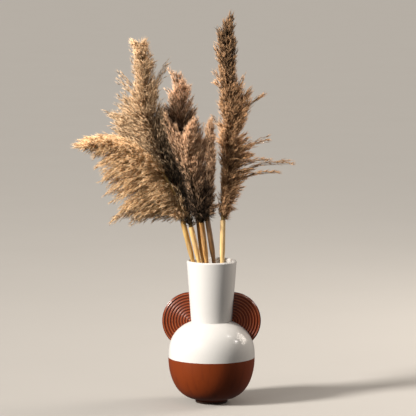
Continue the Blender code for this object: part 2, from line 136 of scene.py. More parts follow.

# Plumes.
# spine: points above the cane.
# left, right: the outermost tufts, each by how high up the spine it leaves, as a share of it, and
#     the (x, z) that it reaches.
# depth: how far tufts reach to the front and the back, from low to high.
# lift: how far a strand follows the spine before it bends away, as a share of its length.
# girth: how far a tuft's strands stand apart. bush: how far its hairs stand off a strand.
# tones: how much lighter or darker the down is, from low to high; partly the down's own colour
# and partly painted shade and light, darker where other plumes shade it and lighter where too
# little light reaches.
# shades: painted shade and light for the left and the right side, darker on a side that lies in
# shadow and lighter on a lit one, which fades out up the spine.
# triangles: about how many the plume is given.
# wisps: long loose strands, by the share where they leave and the point that they reach.
PLUMES = [
    {
        "name": "golden",
        "spine": [(-0.063, -0.002, 0.393), (-0.078, -0.008, 0.427), (-0.097, -0.012, 0.460),
                  (-0.117, -0.016, 0.485), (-0.141, -0.019, 0.505), (-0.169, -0.021, 0.519),
                  (-0.203, -0.023, 0.523), (-0.237, -0.024, 0.520), (-0.266, -0.025, 0.512)],
        "left": [(0.05, -0.076, 0.363), (0.07, -0.103, 0.360), (0.10, -0.127, 0.359),
                 (0.14, -0.150, 0.360), (0.17, -0.172, 0.349), (0.20, -0.184, 0.364),
                 (0.23, -0.210, 0.354), (0.27, -0.196, 0.376), (0.31, -0.213, 0.395),
                 (0.36, -0.219, 0.413), (0.40, -0.210, 0.424), (0.45, -0.233, 0.440),
                 (0.52, -0.222, 0.456), (0.58, -0.241, 0.466), (0.66, -0.226, 0.480),
                 (0.73, -0.240, 0.488), (0.80, -0.252, 0.497), (0.90, -0.268, 0.504),
                 (0.99, -0.277, 0.511)],
        "right": [(0.38, -0.139, 0.506), (0.44, -0.163, 0.520), (0.50, -0.183, 0.530),
                  (0.58, -0.207, 0.537), (0.68, -0.233, 0.537), (0.80, -0.252, 0.531),
                  (0.90, -0.267, 0.523), (0.99, -0.276, 0.514)],
        "depth": (0.012, 0.034, 0.044, 0.038, 0.028, 0.012),
        "lift": 0.20, "girth": 0.019, "bush": 0.0026,
        "tones": (0.10, 0.26, 0.30, 0.32, 0.40),
        "shades": (0, 0), "triangles": 180000, "wisps": [],
    },
    {
        "name": "beige",
        "spine": [(-0.049, 0.006, 0.383), (-0.065, 0.008, 0.421), (-0.081, 0.011, 0.462),
                  (-0.103, 0.014, 0.506), (-0.121, 0.015, 0.550), (-0.130, 0.014, 0.595),
                  (-0.133, 0.013, 0.639), (-0.136, 0.012, 0.680), (-0.141, 0.012, 0.706),
                  (-0.143, 0.012, 0.715)],
        "left": [(0.08, -0.071, 0.395), (0.14, -0.097, 0.430), (0.20, -0.128, 0.468),
                 (0.27, -0.163, 0.500), (0.33, -0.189, 0.523), (0.36, -0.203, 0.539),
                 (0.38, -0.202, 0.547), (0.40, -0.213, 0.554), (0.42, -0.206, 0.563),
                 (0.44, -0.203, 0.572), (0.46, -0.209, 0.579), (0.47, -0.218, 0.585),
                 (0.50, -0.196, 0.601), (0.54, -0.191, 0.617), (0.56, -0.177, 0.625),
                 (0.61, -0.168, 0.633), (0.66, -0.152, 0.643), (0.72, -0.155, 0.670),
                 (0.80, -0.160, 0.693), (0.90, -0.158, 0.712), (0.96, -0.163, 0.726)],
        "right": [(0.10, -0.059, 0.414), (0.16, -0.068, 0.456), (0.22, -0.078, 0.494),
                  (0.28, -0.087, 0.526), (0.34, -0.094, 0.554), (0.42, -0.095, 0.586),
                  (0.50, -0.098, 0.611), (0.57, -0.106, 0.632), (0.63, -0.106, 0.649),
                  (0.70, -0.108, 0.665), (0.78, -0.108, 0.687), (0.86, -0.117, 0.702),
                  (0.93, -0.125, 0.717), (0.96, -0.128, 0.729)],
        "depth": (0.010, 0.030, 0.042, 0.046, 0.036, 0.022, 0.010),
        "lift": 0.18, "girth": 0.020, "bush": 0.0026,
        "tones": (-0.60, -0.30, 0.08, 0.22, 0.34),
        "shades": (0.04, -0.36), "triangles": 188000,
        "wisps": [(0.58, -0.084, 0.034, 0.678), (0.55, -0.092, 0.030, 0.666),
                  (0.53, -0.097, 0.028, 0.652), (0.59, -0.187, 0.026, 0.657),
                  (0.56, -0.185, 0.024, 0.642)],
    },
    {
        "name": "grey",
        "spine": [(-0.036, 0.040, 0.401), (-0.044, 0.053, 0.448), (-0.054, 0.065, 0.494),
                  (-0.061, 0.074, 0.541), (-0.063, 0.081, 0.579), (-0.061, 0.085, 0.610),
                  (-0.059, 0.086, 0.630)],
        "left": [(0.05, -0.055, 0.387), (0.12, -0.076, 0.433), (0.20, -0.089, 0.467),
                 (0.28, -0.100, 0.499), (0.36, -0.107, 0.530), (0.44, -0.106, 0.561),
                 (0.52, -0.109, 0.588), (0.60, -0.094, 0.596), (0.67, -0.089, 0.617),
                 (0.75, -0.078, 0.620), (0.86, -0.074, 0.643), (0.95, -0.062, 0.646)],
        "right": [(0.05, -0.021, 0.387), (0.13, -0.020, 0.420), (0.22, -0.018, 0.458),
                  (0.32, -0.013, 0.495), (0.41, -0.012, 0.527), (0.49, -0.019, 0.559),
                  (0.58, -0.027, 0.585), (0.68, -0.036, 0.611), (0.80, -0.042, 0.633),
                  (0.92, -0.051, 0.641), (0.99, -0.058, 0.646)],
        "depth": (0.010, 0.018, 0.022, 0.020, 0.010),
        "lift": 0.16, "girth": 0.018, "bush": 0.0024,
        "tones": (-0.64, -0.60, -0.56, -0.46, 0.30, 0.60, 0.60),
        "shades": (0, 0), "triangles": 170000,
        "wisps": [(0.80, -0.086, 0.082, 0.663), (0.76, -0.080, 0.080, 0.652),
                  (0.72, -0.089, 0.078, 0.621), (0.84, -0.073, 0.084, 0.655),
                  (0.88, -0.063, 0.086, 0.654)],
    },
    {
        "name": "rosy",
        "spine": [(-0.029, -0.030, 0.396), (-0.038, -0.040, 0.446), (-0.045, -0.046, 0.494),
                  (-0.046, -0.050, 0.525), (-0.043, -0.052, 0.551)],
        "left": [(0.06, -0.043, 0.411), (0.12, -0.053, 0.450), (0.18, -0.061, 0.489),
                 (0.32, -0.093, 0.563), (0.40, -0.089, 0.577), (0.52, -0.073, 0.564),
                 (0.66, -0.058, 0.543), (0.80, -0.049, 0.558)],
        "right": [(0.03, -0.013, 0.375), (0.06, -0.001, 0.403), (0.12, -0.004, 0.444),
                  (0.20, -0.012, 0.476), (0.30, -0.013, 0.506), (0.42, -0.004, 0.541),
                  (0.55, -0.015, 0.561), (0.70, -0.025, 0.579), (0.85, -0.034, 0.580),
                  (0.99, -0.041, 0.568)],
        "depth": (0.008, 0.014, 0.017, 0.016, 0.008),
        "lift": 0.12, "girth": 0.014, "bush": 0.0020,
        "tones": (-0.85, -0.62, 0.0, 0.24, 0.30, 0.28, 0.28),
        "shades": (-0.38, 0.10), "triangles": 140000,
        "wisps": [(0.10, -0.092, -0.046, 0.577), (0.14, -0.003, -0.044, 0.543)],
    },
    {
        "name": "pink",
        "spine": [(-0.007, 0.030, 0.405), (-0.002, 0.036, 0.453), (-0.001, 0.040, 0.500),
                  (-0.001, 0.042, 0.534), (-0.002, 0.042, 0.554)],
        "left": [(0.10, -0.013, 0.422), (0.30, -0.016, 0.468), (0.50, -0.015, 0.507),
                 (0.75, -0.013, 0.547), (0.99, -0.005, 0.565)],
        "right": [(0.04, 0.005, 0.376), (0.10, 0.013, 0.393), (0.22, 0.008, 0.437),
                  (0.38, 0.006, 0.471), (0.55, 0.008, 0.502), (0.75, 0.006, 0.536),
                  (0.99, -0.001, 0.562)],
        "depth": (0.006, 0.010, 0.012, 0.006),
        "lift": 0.10, "girth": 0.013, "bush": 0.0022,
        "tones": (-0.62, -0.34, 0.02, 0.02, 0.0),
        "shades": (0, 0), "triangles": 75000,
        "wisps": [(0.06, 0.005, 0.010, 0.376), (0.08, 0.018, 0.008, 0.395)],
    },
    {
        "name": "taupe",
        "spine": [(0.026, -0.008, 0.410), (0.030, -0.004, 0.458), (0.033, -0.002, 0.505),
                  (0.034, 0.000, 0.552), (0.033, 0.000, 0.601), (0.031, 0.000, 0.648),
                  (0.031, 0.000, 0.696), (0.033, 0.000, 0.735), (0.037, 0.000, 0.766)],
        "left": [(0.03, 0.020, 0.385), (0.08, 0.021, 0.419), (0.15, 0.020, 0.463),
                 (0.24, 0.015, 0.499), (0.33, 0.009, 0.531), (0.41, 0.012, 0.559),
                 (0.50, 0.014, 0.606), (0.58, 0.014, 0.635), (0.64, 0.017, 0.665),
                 (0.70, 0.012, 0.696), (0.74, 0.005, 0.721), (0.80, 0.015, 0.741),
                 (0.84, 0.009, 0.757), (0.92, 0.025, 0.768), (0.99, 0.037, 0.780)],
        "right": [(0.02, 0.036, 0.378), (0.05, 0.054, 0.391), (0.08, 0.059, 0.415),
                  (0.12, 0.070, 0.435), (0.17, 0.078, 0.456), (0.22, 0.096, 0.470),
                  (0.27, 0.092, 0.502), (0.31, 0.092, 0.522), (0.36, 0.073, 0.543),
                  (0.40, 0.075, 0.581), (0.44, 0.089, 0.608), (0.47, 0.084, 0.638),
                  (0.50, 0.067, 0.660), (0.52, 0.060, 0.636), (0.56, 0.053, 0.646),
                  (0.62, 0.049, 0.671), (0.70, 0.047, 0.700), (0.78, 0.050, 0.728),
                  (0.87, 0.046, 0.758), (0.99, 0.041, 0.780)],
        "depth": (0.008, 0.022, 0.028, 0.026, 0.020, 0.014, 0.006),
        "lift": 0.20, "girth": 0.015, "bush": 0.0021,
        "tones": (0.02, 0.22, 0.0, -0.42, -0.34),
        "shades": (0.08, -0.12), "triangles": 188000,
        "wisps": [(0.19, 0.161, 0.004, 0.480), (0.16, 0.138, -0.010, 0.464),
                  (0.28, 0.114, 0.010, 0.526), (0.42, 0.107, 0.004, 0.618),
                  (0.38, -0.001, -0.004, 0.572), (0.56, 0.004, 0.006, 0.662),
                  (0.55, 0.003, -0.006, 0.645), (0.24, 0.120, -0.004, 0.486)],
    },
]
# How far each layer of tufts turns from the sides, to the back if it is above 0
LEANS = (0, 0.12, -0.28, 0.35, -0.6, 0.65, -0.93, 0.93)
LEAVE_LOW = 0.88  # tufts leave the spine at this much of the share that a plume's sides give
TUFT_SHIFT = (-0.5, 0.5)  # how far a layer's tufts slip along the outline, in tufts
INNER_REACH = (0.8, 1.0)  # how much of the way to the outline the turned layers' tufts reach
TUFT_RISE = 0.018  # how much further up the tufts that turn most end
PULL_IN = 0.009  # what the hairs add past a tuft's tip
SHORTEST_TUFT = 0.018  # a shorter one is pulled in as if it were this long
FULL_TUFT = 0.04  # a shorter tuft is narrower

SPINE_STEPS = 60
SPINE_SIDES = 8
SPINE_RADII = (0.0040, 0.0026, 0.0018, 0.0013, 0.0007)
SPINE_GAP = 0.0003  # between a cane's top and its spine's foot
SPINE_TONE = 0.5

STRAND_STEPS = 3
STRAND_SIDES = 3
STRAND_RADII = (0.0005, 0.00035, 0.0002)
STRAND_TONE = 0.45
FEWEST_STRANDS = 9
STRAND_SPACE = 0.010  # a tuft has one strand more for each such length
ROOT_SPREAD = 0.018  # how far a tuft's strands leave apart, as a share of the spine
ROOT_SHARES = (0.005, 0.99)  # the stretch of the spine that they may leave from
TIP_REACHES = (1.0, 0.97, 0.93)  # how much of the way to a tuft's tip its longest strands go
OTHER_REACHES = (0.35, 1.0)  # the same for its other strands, before the power
REACH_POWER = 0.6  # below 1, more strands are long than short
TIP_GIRTH = 0.12  # the share of the girth that is left at a tuft's tip
GIRTH_POWER = 0.7  # below 1, the girth shrinks mostly near the tip
BEND_SPREAD = 0.9  # how much of its spread a strand already has where it bends
TUFT_VARIETY = 0.04  # how much tones differ by chance, as a standard deviation
STRAND_VARIETY = 0.12
HAIR_VARIETY = 0.19

# Sleeve: strands that hug the foot of each spine, in two kinds that take turns
SLEEVE = 80
SLEEVE_RUN = 0.13  # how much of the spine they leave from
SLEEVE_FEET = (0.1, 1)  # the share of that run for each kind
SLEEVE_OUT = (0.005, 0.014)
SLEEVE_FLATTEN = (1, 1, 0.2)  # they stand out more level than not
SLEEVE_RISE = (0.03, 0.08)  # how much further up the spine they end
SLEEVE_RISES = (1, 2)  # how many times that for each kind

WISP_STRANDS = 5
WISP_SPREAD = 0.0030
WISP_FULLNESS = 1.7  # times as many hairs, which stand off that much further
WISP_PULL_IN = 0.007
WISP_TONE = 0.1

# Hairs. A pair of ends is a value at a strand's root and one at its tip.
HAIR_LENGTH = 0.0130
HAIR_RADIUS = 0.00044
HAIR_TRIANGLES = 4
HAIR_SIZES = (0.7, 1.2)  # times the length or the radius, by chance
HAIR_LEAN = (0.05, 0.45)  # how much a hair leans out from its strand
HAIR_TONE_ENDS = (0.588, 0.808)
LENGTH_ENDS = (1.15, 0.80)
BUSH_ENDS = (1.15, 0.40)
HAIR_ALLOWANCE = 0.006  # added to each strand's length when the hairs are shared out
HAIRY_SHARE = 0.95  # how much of a strand, from its tip down, carries hairs
TIP_CROWDING = 1.2  # above 1, hairs crowd towards the tip
BUNCH = 3  # hairs that leave a strand side by side
FEWEST_BUNCHES = 2
BUNCH_SLIDE = (-0.3, 0.2)  # how far each slides along, in lengths
BUNCH_DEGREES = 8  # how far they fan out, as a standard deviation

# Down colours: root, body and tip. The dark roots, deep in a plume near its spine, are partly the
# down's own colour and partly painted shade.
DOWN = {
    "golden": ((0.56, 0.34, 0.15), (0.98, 0.66, 0.36), (1.0, 0.73, 0.48)),
    "beige": ((0.46, 0.30, 0.165), (0.90, 0.63, 0.38), (0.93, 0.67, 0.43)),
    "grey": ((0.20, 0.12, 0.065), (0.95, 0.62, 0.39), (1.0, 0.70, 0.49)),
    "rosy": ((0.18, 0.11, 0.055), (0.74, 0.455, 0.26), (0.95, 0.61, 0.40)),
    "pink": ((0.20, 0.12, 0.065), (0.62, 0.39, 0.23), (0.82, 0.54, 0.35)),
    "taupe": ((0.24, 0.144, 0.07), (0.72, 0.42, 0.21), (0.94, 0.58, 0.335)),
}
SPINE_STRAW = (0.62, 0.42, 0.16)
COLOUR_STOPS = (0.03, 0.06, 0.40, 1.0)  # where spine straw, root, body and tip lie on the run
SPINE_RUN = (0.0, 0.02)  # the stretch of that run which each kind of fibre takes
STRAND_RUN = (0.08, 0.3)
HAIR_RUN = (0.12, 1.0)
FOOT_RUN = 0.02  # how much further on one corner of a hair's foot is
TONE_RANGE = (0.02, 0.98)
TONE_WIDTH = 0.012  # how much tones differ round a fibre
DARKEST = 0.02  # the shade at tone 0
TONE_SCALE = 1.04  # how much lighter it is at tone 1
FLECK_SHARE = 0.20

# Studio
LENS = 229
SENSOR = 36
CAMERA_PLACE = (-0.007, -5.2, 0.975)
CAMERA_TARGET = (-0.007, 0, 0.3885)
FAR_CLIP = 100
KEY_SUN = {"place": (-2.0, -1.04, 1.22), "width_degrees": 13, "strength": 6.2,
           "colour": (1.0, 0.95, 0.88)}
LIGHTS = [
    # name, place, target, size, power, colour, seen only as a glint
    ("top_fill", (0.3, -0.3, 2.8), (0, 0, 0.2), 3.0, 20, (1.0, 0.95, 0.89), False),
    ("front_fill", (-1.7, -1.9, 1.9), (0, 0, 0.5), 1.2, 14, (1.0, 0.94, 0.87), False),
    ("back_fill", (1.92, 0.80, 1.2), (0, 0, 0.3), 1.0, 33, (1.0, 0.89, 0.78), False),
    ("high_glint", (1.14, -0.16, 1.74), (0, 0, 0.15), 0.12, 3.5, (1.0, 0.95, 0.9), True),
    ("side_glint", (1.72, -0.22, 1.20), (0, 0, 0.15), 0.20, 7.0, (1.0, 0.95, 0.9), True),
]
ROOM_COLOUR = (1, 0.94, 0.89, 1)
ROOM_STRENGTH = 0.11
PALE_FLOOR = ((0.46, 0.44, 0.415), (0.48, 0.46, 0.435))
FLOOR_SIZE = 40


# ---------------------------------------------------------------- shading


class Socket:
    """A shader value: each operator adds the Math node that works it out."""

    def __init__(self, finish, socket):
        self.finish, self.socket = finish, socket

    def maths(self, operation, first, second):
        return self.finish.node("ShaderNodeMath", {"operation": operation}, {0: first, 1: second})

    def __add__(self, other):
        return self.maths("ADD", self, other)

    __radd__ = __add__

    def __mul__(self, other):
        return self.maths("MULTIPLY", self, other)

    __rmul__ = __mul__

    def __sub__(self, other):
        return self.maths("SUBTRACT", self, other)

    def __rsub__(self, other):
        return self.maths("SUBTRACT", other, self)

    def output(self, name):
        return Socket(self.finish, self.socket.node.outputs[name])

    def smooth(self, low, high):
        """0 below low, 1 above high, and an even curve between them."""
        return self.finish.node("ShaderNodeMapRange", {"interpolation_type": "SMOOTHSTEP"},
                                {"Value": self, "From Min": low, "From Max": high})


class Finish:
    """A procedural material and the one method that adds its nodes."""

    def __init__(self, name):
        self.material = bpy.data.materials.new(name)
        self.material.use_nodes = True
        self.tree = self.material.node_tree
        self.tree.nodes.clear()

    def node(self, kind, settings=None, inputs=None, output=0):
        """Adds a node: first its settings, then the values or links of its sockets."""
        node = self.tree.nodes.new(kind)
        for setting, value in (settings or {}).items():
            if setting == "stops":
                self.set_stops(node.color_ramp, value)
            else:
                setattr(node, setting, value)
        for key, value in (inputs or {}).items():
            if isinstance(value, Socket):
                self.tree.links.new(value.socket, node.inputs[key])
            else:
                node.inputs[key].default_value = value
        return Socket(self, node.outputs[output]) if node.outputs else None

    @staticmethod
    def set_stops(ramp, stops):
        while len(ramp.elements) < len(stops):
            ramp.elements.new(1.0)
        for element, (position, colour) in zip(ramp.elements, stops):
            element.position = position
            element.color = (*colour, 1)

    def place(self):
        """Where on its piece a point lies, in metres."""
        return self.node("ShaderNodeTexCoord", output="Object")

    def mix(self, factor, first, second, blend="MIX"):
        """Two colours mixed, or combined by another blend mode."""
        colours = [c if isinstance(c, Socket) else (*c, 1) for c in (first, second)]
        return self.node("ShaderNodeMix", {"data_type": "RGBA", "blend_type": blend},
                         {0: factor, 6: colours[0], 7: colours[1]}, output=2)

    def noise(self, coords, scale, detail=3.0):
        return self.node("ShaderNodeTexNoise", None,
                         {"Vector": coords, "Scale": scale, "Detail": detail,
                          "Roughness": NOISE_ROUGHNESS})

    def streaks(self, coords, scales, detail):
        """Noise that is finer across than along, by a scale for each axis."""
        stretched = self.node("ShaderNodeMapping", None, {"Vector": coords, "Scale": scales})
        return self.noise(stretched, 1.0, detail)

    def bump(self, height, distance):
        return self.node("ShaderNodeBump", None,
                         {"Height": height, "Distance": distance, "Strength": 1.0})

    def surface(self, **sockets):
        """Ends the material in a Principled shader; a name's _ stands for a space."""
        named = {name.replace("_", " "): value for name, value in sockets.items()}
        shader = self.node("ShaderNodeBsdfPrincipled", None, named)
        self.node("ShaderNodeOutputMaterial", None, {"Surface": shader})
        return self.material


def white_and_brown_glaze():
    """White down to the equator, and iron brown below it, on a turned pot."""
    finish = Finish("two_tone_glaze")
    place = finish.place()
    height = finish.node("ShaderNodeSeparateXYZ", None, {"Vector": place}, output="Z")
    line = height + (finish.noise(place, scale=60) - 0.5) * GLAZE_WAVER
    lower = 1 - line.smooth(EQUATOR_Z - GLAZE_BLUR, EQUATOR_Z + GLAZE_BLUR)
    clouds = finish.noise(place, scale=14)
    specks = finish.noise(place, scale=900, detail=1.0).smooth(0.70, 0.76)
    white = finish.mix(clouds, *WHITE)
    white = finish.mix(specks * SPECK_SHARE, white, WHITE_SPECK)
    streaks = finish.streaks(place, scales=(60, 60, 6), detail=3.0).smooth(0.45, 0.75)
    brown = finish.mix(clouds, *BROWN)
    brown = finish.mix(streaks * STREAK_SHARE, brown, BROWN_STREAK)
    # Painted shade: the bare foot ring darkened to near-black for the shade under the globe
    brown = finish.mix(1 - height.smooth(*FOOT_SHADE_FADE), brown, BARE_FOOT_AND_SHADE)
    on_white, on_brown = GLAZE_ROUGHNESS
    roughness = on_white + clouds * 0.08 + lower * (on_brown - on_white)
    grain = finish.noise(place, scale=220, detail=2.0)
    return finish.surface(Base_Color=finish.mix(lower, white, brown), Roughness=roughness,
                          Specular_IOR_Level=0.25,
                          Normal=finish.bump(grain * 0.7 + clouds * 2.0, GLAZE_BUMP))


def handle_glaze(name, side):
    """Iron brown that has run thin and paler on each ridge's crest, lighter still as a painted
    highlight, and darker in the grooves, partly the glaze's own and partly painted shade.
    """
    finish = Finish(name)
    place = finish.place()
    centred = finish.node("ShaderNodeMapping", None,
                          {"Vector": place, "Location": (-side * HANDLE_X, 0, -HANDLE_Z),
                           "Scale": (1, 0, 1)})
    radius = finish.node("ShaderNodeVectorMath", {"operation": "LENGTH"}, {0: centred},
                         output="Value")
    wave = finish.node("ShaderNodeMath", {"operation": "COSINE"},
                       {0: radius * (math.tau / RIDGE_PITCH) + math.pi})
    rise = wave * 0.5 + 0.5
    clouds = finish.noise(place, scale=40)
    # Painted highlight on each crest, over a paler glaze break
    crest_break_and_highlight = rise.smooth(0.90, 1.0) * (0.5 + clouds)
    # Painted shade in the grooves, over glaze that is darker there
    groove_pool_and_shade = 1 - rise.smooth(0.0, 0.15)
    brown = finish.mix(clouds, *HANDLE_BROWN)
    brown = finish.mix(groove_pool_and_shade * GROOVE_POOL_AND_SHADE_SHARE, brown, GROOVE_POOL_AND_SHADE)
    brown = finish.mix(crest_break_and_highlight * CREST_BREAK_AND_HIGHLIGHT_SHARE, brown, CREST_BREAK_AND_HIGHLIGHT)
    grain = finish.noise(place, scale=300, detail=2.0)
    return finish.surface(Base_Color=brown, Roughness=HANDLE_ROUGHNESS - crest_break_and_highlight * 0.06,
                          Specular_IOR_Level=0.34, Normal=finish.bump(grain, HANDLE_BUMP))


def straw_finish(number, straws_and_shade):
    """Dry cane: streaked along its length, duller in places."""
    finish = Finish(f"straw_cane_{number}")
    place = finish.place()
    streaks = finish.streaks(place, scales=(360, 360, 7), detail=4.0)
    fibres = finish.streaks(place, scales=(1500, 1500, 20), detail=2.0)
    dust = finish.noise(place, scale=24).smooth(0.5, 0.8)
    straw = finish.mix(streaks.smooth(0.32, 0.62), *straws_and_shade)
    straw = finish.mix(dust * DUST_SHARE, straw, STRAW_DUST)
    return finish.surface(Base_Color=straw, Roughness=0.40 + fibres * 0.25,
                          Normal=finish.bump(streaks * 0.6 + fibres * 0.4, STRAW_BUMP))


def down_finish(name):
    """Dry down. The map's U is a fibre's tone and its V runs from root to tip."""
    finish = Finish("down_" + name)
    spot = finish.node("ShaderNodeUVMap", {"uv_map": "OFBake"})
    axes = finish.node("ShaderNodeSeparateXYZ", None, {"Vector": spot})
    tone, run = axes.output("X"), axes.output("Y")
    stops = list(zip(COLOUR_STOPS, (SPINE_STRAW, *DOWN[name])))
    colour = finish.node("ShaderNodeValToRGB", {"stops": stops}, {"Fac": run})
    flecks = finish.streaks(spot, scales=(90, 7, 1), detail=2.0)
    shade = DARKEST + tone * TONE_SCALE + (flecks - 0.5) * FLECK_SHARE
    shade_colour = finish.node("ShaderNodeCombineColor", None,
                               {"Red": shade, "Green": shade, "Blue": shade})
    colour = finish.mix(1.0, colour, shade_colour, "MULTIPLY")
    return finish.surface(Base_Color=colour, Roughness=0.7, Specular_IOR_Level=0.15)


def floor_finish():
    """Plain pale paper, very slightly clouded."""
    finish = Finish("pale_floor")
    colour = finish.mix(finish.noise(finish.place(), scale=3), *PALE_FLOOR)
    return finish.surface(Base_Color=colour, Roughness=0.7)


# ---------------------------------------------------------------- solid pieces


def mesh_of(name, bm):
    mesh = bpy.data.meshes.new(name)
    bm.to_mesh(mesh)
    bm.free()
    return mesh


def add_mesh(name, mesh, material):
    mesh.materials.append(material)
    piece = bpy.data.objects.new(name, mesh)
    bpy.context.collection.objects.link(piece)
    return piece


def add_piece(name, bm, material, sharp_angle=40):
    """A solid piece, smooth except where it turns by more than sharp_angle degrees."""
    bmesh.ops.recalc_face_normals(bm, faces=bm.faces)
    mesh = mesh_of(name, bm)
    mesh.shade_smooth()
    mesh.set_sharp_from_angle(angle=math.radians(sharp_angle))
    return add_mesh(name, mesh, material)


def stand_for(piece, node, slot):
    """Rides on the frame's one body, in place of a node."""
    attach(piece, "root")
    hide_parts(node)


def turn(outline, axis, steps):
    """A solid turned about axis from (radius, height) points that start and end on it."""
    bm = bmesh.new()
    verts = [bm.verts.new(Vector((r, 0, 0)) + axis * h) for r, h in outline]
    edges = [bm.edges.new(pair) for pair in zip(verts, verts[1:])]
    bmesh.ops.spin(bm, geom=verts + edges, cent=(0, 0, 0), axis=axis, dvec=(0, 0, 0),
                   angle=math.tau, steps=steps, use_merge=True)
    bmesh.ops.remove_doubles(bm, verts=bm.verts, dist=MERGE)
    return bm


def dome(radius, powers, share):
    """A dome's radius at a share of its height."""
    p, q = powers
    return radius * (1 - share ** p) ** (1 / q)


def share_at_radius(radius, dome_radius, powers):
    """The share of a dome's height where it has this radius."""
    p, q = powers
    return (1 - (radius / dome_radius) ** q) ** (1 / p)


def dome_points(radius, height, powers, last_share):
    """(radius, height) points from a dome's rim, closer together as it curves in."""
    last_angle = math.asin(last_share)
    shares = [math.sin(last_angle * i / DOME_STEPS) for i in range(DOME_STEPS + 1)]
    return [(dome(radius, powers, s), height * s) for s in shares]


def outside_outline():
    lower = dome_points(GLOBE_RADIUS, LOWER_DROP, LOWER_POWERS,
                        share_at_radius(FOOT_RADIUS, GLOBE_RADIUS, LOWER_POWERS))
    upper = dome_points(GLOBE_RADIUS, UPPER_RISE, UPPER_POWERS,
                        share_at_radius(NECK_RADIUS, GLOBE_RADIUS, UPPER_POWERS))
    foot = [(FOOT_RADIUS - FOOT_EDGE, 0), (FOOT_RADIUS, FOOT_EDGE)]
    below = [(r, EQUATOR_Z - d) for r, d in reversed(lower)]
    above = [(r, EQUATOR_Z + d) for r, d in upper[1:]]
    return foot + below + above + [(LIP_RADIUS, VASE_HEIGHT - LIP_ROUND)]


def lip_outline():
    middle_r, middle_z = LIP_RADIUS - LIP_ROUND, VASE_HEIGHT - LIP_ROUND
    angles = [math.pi * i / LIP_STEPS for i in range(1, LIP_STEPS + 1)]
    return [(middle_r + LIP_ROUND * math.cos(a), middle_z + LIP_ROUND * math.sin(a))
            for a in angles]


def inside_outline():
    radius = GLOBE_RADIUS - GLOBE_WALL
    neck_inside = NECK_RADIUS - NECK_WALL
    rise = UPPER_RISE - GLOBE_WALL
    drop = LOWER_DROP - GLOBE_WALL
    upper = dome_points(radius, rise, UPPER_POWERS,
                        share_at_radius(neck_inside, radius, UPPER_POWERS))
    lower = dome_points(radius, drop, LOWER_POWERS, (EQUATOR_Z - FLOOR_Z) / drop)
    above = [(r, EQUATOR_Z + d) for r, d in reversed(upper)]
    below = [(r, EQUATOR_Z - d) for r, d in lower[1:]]
    return above + below + [(0, FLOOR_Z)]


def make_vase():
    outline = [(0, 0)] + outside_outline() + lip_outline() + inside_outline()
    vase = add_piece("vase_pot", turn(outline, Vector((0, 0, 1)), VASE_STEPS),
                     white_and_brown_glaze())
    stand_for(vase, "vase", "white_glaze")


def vase_heart():
    """The vase as a full solid, smaller by the depth that the handles are luted in."""
    outline = [(max(r - LUTED, 0), z) for r, z in outside_outline()]
    outline = [(0, outline[0][1])] + outline + [(0, outline[-1][1])]
    return turn(outline, Vector((0, 0, 1)), VASE_STEPS)


def ridged_disc():
    """A disc about Y whose faces roll over each ridge in a half wave."""
    face = []
    points = RIDGES * RIDGE_POINTS
    for i in range(points + 1):
        radius = i * RIDGE_PITCH / RIDGE_POINTS
        low = EDGE_HALF if i > points - RIDGE_POINTS / 2 else VALLEY_HALF
        wave = math.sin(math.pi * i / RIDGE_POINTS) ** 2
        face.append((radius, low + (CREST_HALF - low) * wave))
    back = [(r, -h) for r, h in reversed(face)]
    return turn(face + back, Vector((0, 1, 0)), HANDLE_STEPS)


def make_handle(name, side, heart):
    """One ridged disc, trimmed to run only as deep as it is luted into the vase's wall."""
    bm = ridged_disc()
    bmesh.ops.translate(bm, verts=bm.verts, vec=(side * HANDLE_X, 0, HANDLE_Z))
    handle = add_piece(name + "_disc", bm, handle_glaze(name + "_glaze", side), sharp_angle=50)
    cut = handle.modifiers.new("trim_to_vase", "BOOLEAN")
    cut.operation = "DIFFERENCE"
    cut.object = heart
    trimmed = handle.evaluated_get(bpy.context.evaluated_depsgraph_get())
    handle.data = bpy.data.meshes.new_from_object(trimmed)
    handle.modifiers.clear()
    stand_for(handle, name, "brown_glaze")


def make_handles():
    heart = add_piece("vase_heart", vase_heart(), bpy.data.materials.new("unseen"))
    make_handle("handle_left", -1, heart)
    make_handle("handle_right", 1, heart)
    bpy.data.objects.remove(heart, do_unlink=True)


# ---------------------------------------------------------------- canes


def cane_path(foot, lip, top):
    """A gentle bow through the foot, the lip and the top, evenly spaced in height."""
    z = np.linspace(foot[2], top[2], CANE_STEPS + 1)
    at_foot = (z - lip[2]) * (z - top[2]) / ((foot[2] - lip[2]) * (foot[2] - top[2]))
    at_lip = (z - foot[2]) * (z - top[2]) / ((lip[2] - foot[2]) * (lip[2] - top[2]))
    shares = np.stack([at_foot, at_lip, 1 - at_foot - at_lip], axis=1)
    return shares @ np.array([foot, lip, top])


def headings_of(path):
    heading = np.gradient(path, axis=0)
    return heading / np.linalg.norm(heading, axis=1, keepdims=True)


def ring_turns(headings):
    """For each heading, the right, back and heading axes of a ring about it."""
    back = np.array([0.0, 1.0, 0.0]) - headings * headings[:, 1:2]
    back /= np.linalg.norm(back, axis=1, keepdims=True)
    return np.stack([np.cross(back, headings), back, headings], axis=1)


